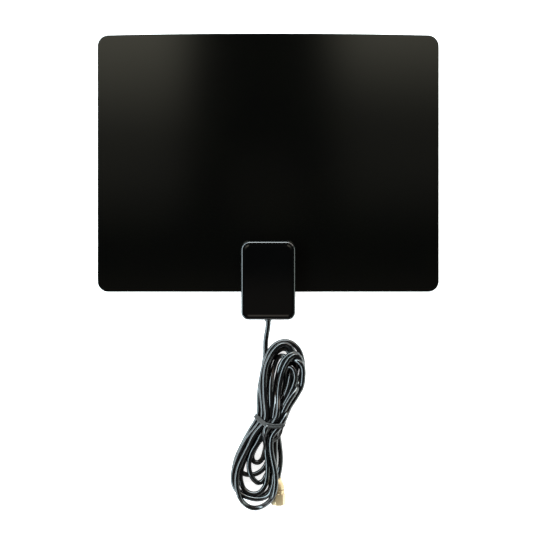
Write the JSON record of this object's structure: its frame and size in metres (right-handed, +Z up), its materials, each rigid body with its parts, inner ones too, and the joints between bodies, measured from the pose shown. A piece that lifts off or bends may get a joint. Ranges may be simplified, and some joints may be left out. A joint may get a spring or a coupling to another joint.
{
  "type": "flat indoor tv antenna",
  "caption": "Flat black indoor TV antenna panel with a glossy balun housing, a tied hank of coaxial lead and an F connector.",
  "frame": {"origin": "on the surface the antenna lies on, under the middle of the panel and housing", "axes": "+Z up out of the panel's front face, +Y towards the panel's upper edge, +X to the viewer's right"},
  "size_m": [0.305, 0.4246, 0.017],
  "materials": {
    "panel_film": "satin black film",
    "foil": "rolled foil",
    "case_plastic": "high gloss moulded",
    "cover_plastic": "fine matt moulded",
    "screw_steel": "zinc plated",
    "grommet_plastic": "soft moulded",
    "rivet_brass": "drawn",
    "board_laminate": "solder mask",
    "ferrite": "sintered",
    "copper": "drawn copper",
    "capacitor_body": "ceramic",
    "solder": "tinned",
    "white_insulation": "moulded polyethylene",
    "lead_jacket": "glossy extruded PVC",
    "tie_plastic": "extruded PVC",
    "nickel_plate": "bright nickel plate"
  },
  "bodies": {
    "root": {"front_film": "panel_film", "back_film": "panel_film", "element_left": "foil", "element_right": "foil", "front_case": "case_plastic", "rear_cover": "cover_plastic", "cover_screws": "screw_steel", "clamp_screws": "screw_steel", "cable_grommet": "grommet_plastic", "cable_clamp": "grommet_plastic", "feed_rivets": "rivet_brass", "balun_board": "board_laminate", "balun_core": "ferrite", "balun_winding": "copper", "coupling_capacitors": "capacitor_body", "solder_joints": "solder", "coax_braid": "solder", "coax_dielectric": "white_insulation", "coax_conductor": "copper", "coax_lead": "lead_jacket", "lead_hank": "lead_jacket", "lead_tail": "lead_jacket", "wire_tie": "tie_plastic", "connector_body": "nickel_plate", "connector_insulator": "white_insulation", "centre_pin": "copper"},
    "nut": {"coupling_nut": "nickel_plate"}
  },
  "joints": [
    {"name": "nut_spin", "type": "hinge", "parent": "root", "child": "nut", "pos_m": [0.0089, -0.285, 0.0064], "axis": [0, -1, 0], "continuous": true}
  ]
}
